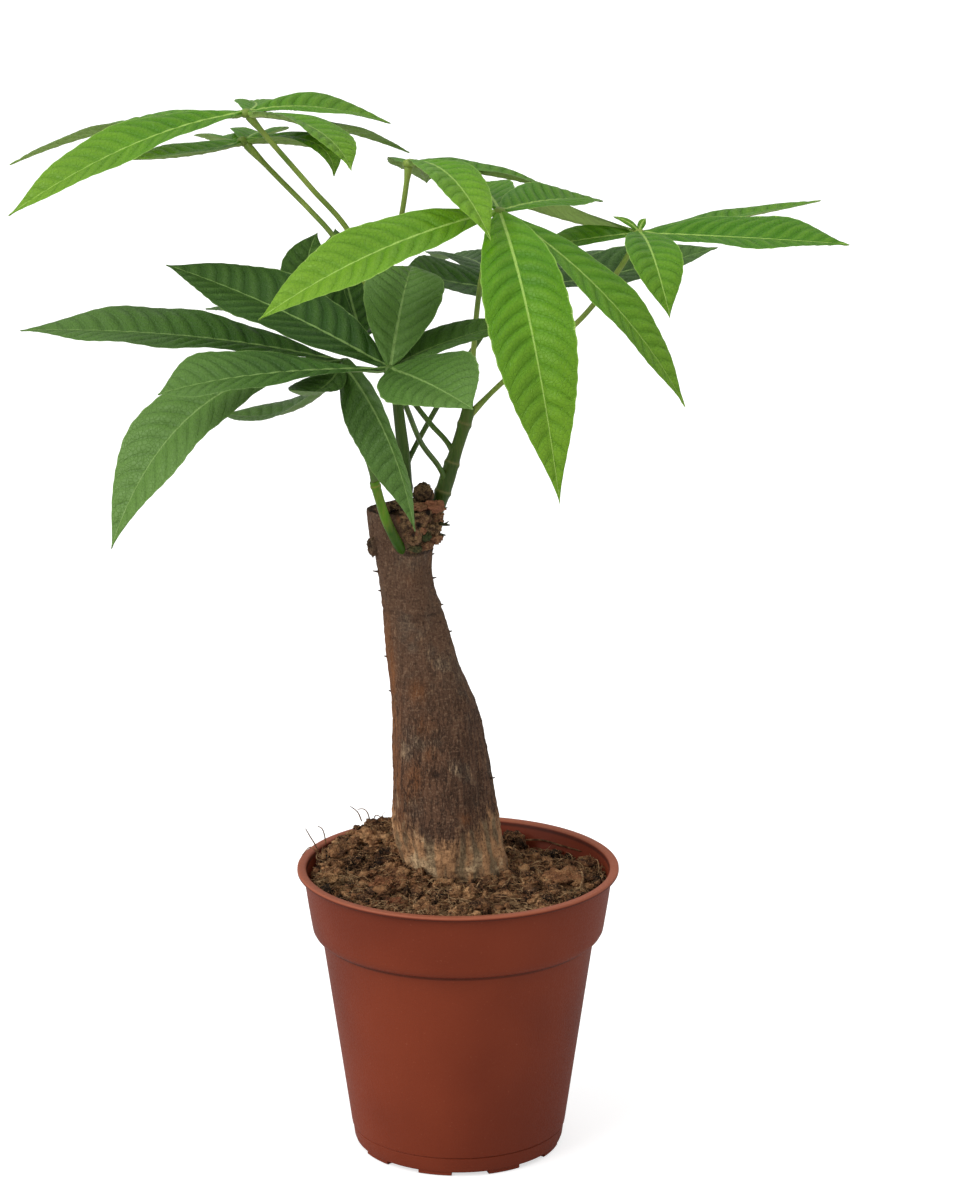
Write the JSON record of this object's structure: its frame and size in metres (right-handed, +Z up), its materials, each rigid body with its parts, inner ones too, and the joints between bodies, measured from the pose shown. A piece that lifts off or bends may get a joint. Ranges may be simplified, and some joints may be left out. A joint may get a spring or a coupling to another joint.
{
  "type": "potted money tree",
  "caption": "Young money tree with a bare thick trunk, green stems and fans of drooping leaflets, in soil in a round banded plastic nursery pot on low feet.",
  "frame": {"origin": "on the pot's axis, at the level of the surface that the pot stands on", "axes": "+Z up, -Y towards the front from which the leaning trunk head and the lowest front leaves are seen, +X to the right of that view"},
  "size_m": [0.3035, 0.2257, 0.393],
  "materials": {
    "pot_plastic": "satin terracotta-brown moulded plastic, rim a little lighter",
    "earth": "coarse fibrous potting soil of peat crumbs, tan root fibres and bark bits",
    "bark": "matt brown-grey bark with fine upright fissures, reddish streaks and a pale foot",
    "green_stem": "smooth satin green young bark with darker joints",
    "young_leaf": "satin bright yellow-green leaf with raised blistering between pale veins",
    "mature_leaf": "satin deep green leaf with a pale midrib, olive underneath"
  },
  "bodies": {
    "root": {"pot": "pot_plastic", "soil": "earth", "trunk": "bark", "stem_right": "green_stem", "stem_middle": "green_stem", "stem_front": "green_stem", "leaf_1": "young_leaf", "leaf_2": "young_leaf", "leaf_3": "young_leaf", "leaf_4": "young_leaf", "leaf_5": "young_leaf", "leaf_6": "mature_leaf", "leaf_7": "mature_leaf", "leaf_8": "mature_leaf", "leaf_9": "mature_leaf"}
  },
  "joints": []
}
